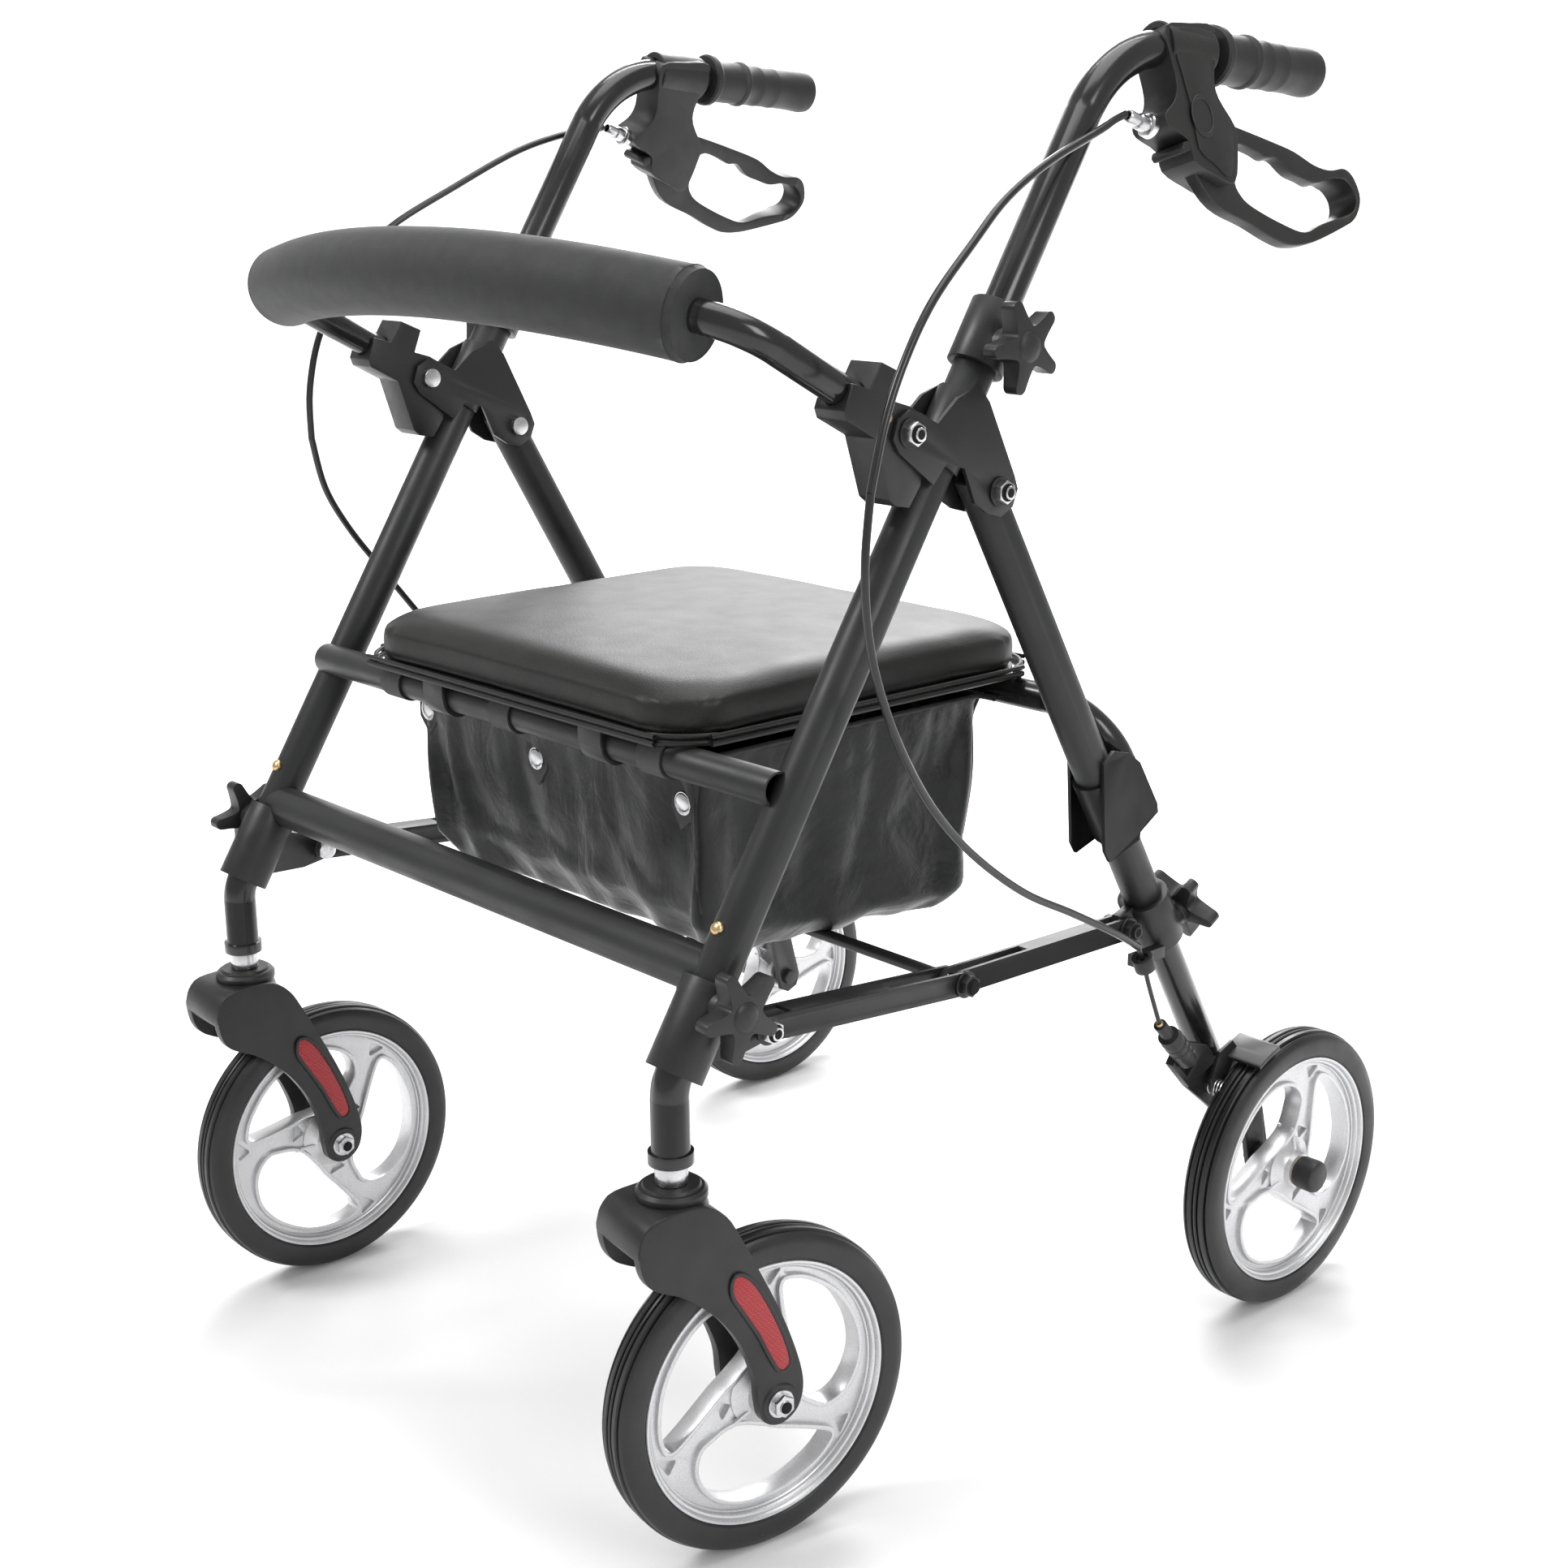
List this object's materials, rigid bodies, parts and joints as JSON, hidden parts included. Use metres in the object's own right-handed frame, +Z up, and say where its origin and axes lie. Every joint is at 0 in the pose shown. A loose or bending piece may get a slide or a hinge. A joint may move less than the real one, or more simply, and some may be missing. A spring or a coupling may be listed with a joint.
{
  "type": "rollator walker",
  "caption": "Folding rollator walker with swivel front wheels, padded seat, fabric bag, foam back rest, height-set handles and cable brakes.",
  "frame": {"origin": "on the floor, below the middle of the length and on the plane of symmetry", "axes": "+Z up, -Y the way it rolls forward, +X the user's left"},
  "size_m": [0.6018, 0.6717, 0.8684],
  "materials": {
    "frame_paint": "satin",
    "black_paint": "satin",
    "black_plastic": "satin",
    "zinc_steel": "bright",
    "grip_rubber": "matt",
    "foam": "matt foam",
    "tyre": "satin",
    "silver_plastic": "silver",
    "leatherette": "semi-gloss",
    "bag_fabric": "coated",
    "cable_sheath": "satin"
  },
  "bodies": {
    "front_frame": {"left_front_leg": "frame_paint", "right_front_leg": "frame_paint", "lower_crossbar": "frame_paint", "seat_crossbar": "frame_paint", "hinge_brackets": "black_paint", "frame_fasteners": "zinc_steel", "upper_collars": "black_plastic", "lower_collars": "black_plastic", "bag": "bag_fabric", "left_brake_cable": "cable_sheath", "right_brake_cable": "cable_sheath"},
    "rear_frame": {"left_rear_leg": "frame_paint", "right_rear_leg": "frame_paint", "rear_seat_tube": "black_paint", "seat_tube_brackets": "black_paint", "rear_collars": "black_plastic"},
    "front_linkage": {"front_links": "black_paint", "cross_rod": "black_paint"},
    "rear_linkage": {"rear_links": "black_paint"},
    "seat": {"seat_cushion": "leatherette", "seat_board": "black_plastic", "seat_clips": "black_plastic"},
    "backrest": {"backrest_tube": "black_paint", "backrest_foam": "foam", "backrest_sockets": "black_plastic"},
    "left_handle": {"left_handle_tube": "black_paint", "left_grip": "grip_rubber", "left_brake_housing": "black_plastic"},
    "left_lever": {"left_brake_lever": "black_plastic"},
    "left_front_extension": {"left_front_stem": "black_paint"},
    "left_caster": {"left_caster_fork": "black_plastic", "left_caster_steel": "zinc_steel"},
    "left_front_wheel": {"left_front_tyre": "tyre", "left_front_rim": "silver_plastic"},
    "left_rear_extension": {"left_rear_stem": "black_paint", "left_wheel_bracket": "black_paint"},
    "left_brake": {"left_brake_shoe": "black_plastic"},
    "left_rear_wheel": {"left_rear_tyre": "tyre", "left_rear_rim": "silver_plastic"},
    "left_upper_screw": {"left_upper_knob": "black_plastic"},
    "left_front_screw": {"left_front_knob": "black_plastic"},
    "left_rear_screw": {"left_rear_knob": "black_plastic"},
    "right_handle": {"right_handle_tube": "black_paint", "right_grip": "grip_rubber", "right_brake_housing": "black_plastic"},
    "right_lever": {"right_brake_lever": "black_plastic"},
    "right_front_extension": {"right_front_stem": "black_paint"},
    "right_caster": {"right_caster_fork": "black_plastic", "right_caster_steel": "zinc_steel"},
    "right_front_wheel": {"right_front_tyre": "tyre", "right_front_rim": "silver_plastic"},
    "right_rear_extension": {"right_rear_stem": "black_paint", "right_wheel_bracket": "black_paint"},
    "right_brake": {"right_brake_shoe": "black_plastic"},
    "right_rear_wheel": {"right_rear_tyre": "tyre", "right_rear_rim": "silver_plastic"},
    "right_upper_screw": {"right_upper_knob": "black_plastic"},
    "right_front_screw": {"right_front_knob": "black_plastic"},
    "right_rear_screw": {"right_rear_knob": "black_plastic"}
  },
  "joints": [
    {"name": "fold", "type": "hinge", "parent": "front_frame", "child": "rear_frame", "pos_m": [0, -0.0485, 0.606], "axis": [-1, 0, 0], "range_deg": [0, 28], "deforming": ["bag", "left_brake_cable", "right_brake_cable"]},
    {"name": "front_link_turn", "type": "hinge", "parent": "front_frame", "child": "front_linkage", "pos_m": [0, -0.226, 0.32], "axis": [1, 0, 0], "range_deg": [0, 46]},
    {"name": "rear_link_turn", "type": "hinge", "parent": "rear_frame", "child": "rear_linkage", "pos_m": [0, 0.092, 0.303], "axis": [-1, 0, 0], "range_deg": [0, 48]},
    {"name": "seat_lift", "type": "hinge", "parent": "front_frame", "child": "seat", "pos_m": [0, -0.20838, 0.455], "axis": [1, 0, 0], "range_deg": [0, 80]},
    {"name": "backrest_lift", "type": "hinge", "parent": "front_frame", "child": "backrest", "pos_m": [0, -0.122, 0.6455], "axis": [-1, 0, 0], "range_deg": [0, 82]},
    {"name": "left_handle_height", "type": "slide", "parent": "front_frame", "child": "left_handle", "axis": [0, 0.5336, 0.8457], "range_m": [-0.1, 0.05]},
    {"name": "left_lever_squeeze", "type": "hinge", "parent": "left_handle", "child": "left_lever", "pos_m": [0.24993, 0.111, 0.80968], "axis": [0.9613, 0, 0.2756], "range_deg": [0, 10], "stiffness_Nm_per_rad": 2, "springref_deg": -1.15},
    {"name": "left_front_leg_length", "type": "slide", "parent": "front_frame", "child": "left_front_extension", "axis": [0, -0.5336, -0.8457], "range_m": [0, 0.075]},
    {"name": "left_caster_swivel", "type": "hinge", "parent": "left_front_extension", "child": "left_caster", "pos_m": [0.238, -0.29029, 0.245], "axis": [0, 0, 1], "continuous": true},
    {"name": "left_front_wheel_spin", "type": "hinge", "parent": "left_caster", "child": "left_front_wheel", "pos_m": [0.24572, -0.23603, 0.1], "axis": [0.99, -0.1409, 0], "continuous": true},
    {"name": "left_rear_leg_length", "type": "slide", "parent": "rear_frame", "child": "left_rear_extension", "axis": [0, 0.4939, -0.8695], "range_m": [0, 0.075]},
    {"name": "left_rear_wheel_spin", "type": "hinge", "parent": "left_rear_extension", "child": "left_rear_wheel", "pos_m": [0.2744, 0.2361, 0.1], "axis": [1, 0, 0], "continuous": true},
    {"name": "left_brake_turn", "type": "hinge", "parent": "left_rear_extension", "child": "left_brake", "pos_m": [0.25305, 0.176, 0.172], "axis": [-1, 0, 0], "range_deg": [0, 3.9]},
    {"name": "left_upper_screw_turn", "type": "hinge", "parent": "front_frame", "child": "left_upper_screw", "pos_m": [0.238, -0.04674, 0.689], "axis": [1, 0, 0], "continuous": true},
    {"name": "left_front_screw_turn", "type": "hinge", "parent": "front_frame", "child": "left_front_screw", "pos_m": [0.238, -0.26379, 0.345], "axis": [1, 0, 0], "continuous": true},
    {"name": "left_rear_screw_turn", "type": "hinge", "parent": "rear_frame", "child": "left_rear_screw", "pos_m": [0.238, 0.13045, 0.291], "axis": [0, 0.8695, 0.4939], "continuous": true},
    {"name": "right_handle_height", "type": "slide", "parent": "front_frame", "child": "right_handle", "axis": [0, 0.5336, 0.8457], "range_m": [-0.1, 0.05]},
    {"name": "right_lever_squeeze", "type": "hinge", "parent": "right_handle", "child": "right_lever", "pos_m": [-0.24993, 0.111, 0.80968], "axis": [0.9613, 0, -0.2756], "range_deg": [0, 10], "stiffness_Nm_per_rad": 2, "springref_deg": -1.15},
    {"name": "right_front_leg_length", "type": "slide", "parent": "front_frame", "child": "right_front_extension", "axis": [0, -0.5336, -0.8457], "range_m": [0, 0.075]},
    {"name": "right_caster_swivel", "type": "hinge", "parent": "right_front_extension", "child": "right_caster", "pos_m": [-0.238, -0.29029, 0.245], "axis": [0, 0, 1], "continuous": true},
    {"name": "right_front_wheel_spin", "type": "hinge", "parent": "right_caster", "child": "right_front_wheel", "pos_m": [-0.23733, -0.23549, 0.1], "axis": [0.9999, -0.0122, 0], "continuous": true},
    {"name": "right_rear_leg_length", "type": "slide", "parent": "rear_frame", "child": "right_rear_extension", "axis": [0, 0.4939, -0.8695], "range_m": [0, 0.075]},
    {"name": "right_rear_wheel_spin", "type": "hinge", "parent": "right_rear_extension", "child": "right_rear_wheel", "pos_m": [-0.2744, 0.2361, 0.1], "axis": [1, 0, 0], "continuous": true},
    {"name": "right_brake_turn", "type": "hinge", "parent": "right_rear_extension", "child": "right_brake", "pos_m": [-0.25305, 0.176, 0.172], "axis": [-1, 0, 0], "range_deg": [0, 3.9]},
    {"name": "right_upper_screw_turn", "type": "hinge", "parent": "front_frame", "child": "right_upper_screw", "pos_m": [-0.238, -0.04674, 0.689], "axis": [1, 0, 0], "continuous": true},
    {"name": "right_front_screw_turn", "type": "hinge", "parent": "front_frame", "child": "right_front_screw", "pos_m": [-0.238, -0.26379, 0.345], "axis": [1, 0, 0], "continuous": true},
    {"name": "right_rear_screw_turn", "type": "hinge", "parent": "rear_frame", "child": "right_rear_screw", "pos_m": [-0.238, 0.13045, 0.291], "axis": [0, 0.8695, 0.4939], "continuous": true}
  ],
  "couplings": [
    {"joint": "front_link_turn", "follows": "fold", "ratio": 1.632},
    {"joint": "rear_link_turn", "follows": "fold", "ratio": 1.689},
    {"joint": "left_brake_turn", "follows": "left_lever_squeeze", "ratio": 0.38},
    {"joint": "right_brake_turn", "follows": "right_lever_squeeze", "ratio": 0.38}
  ]
}
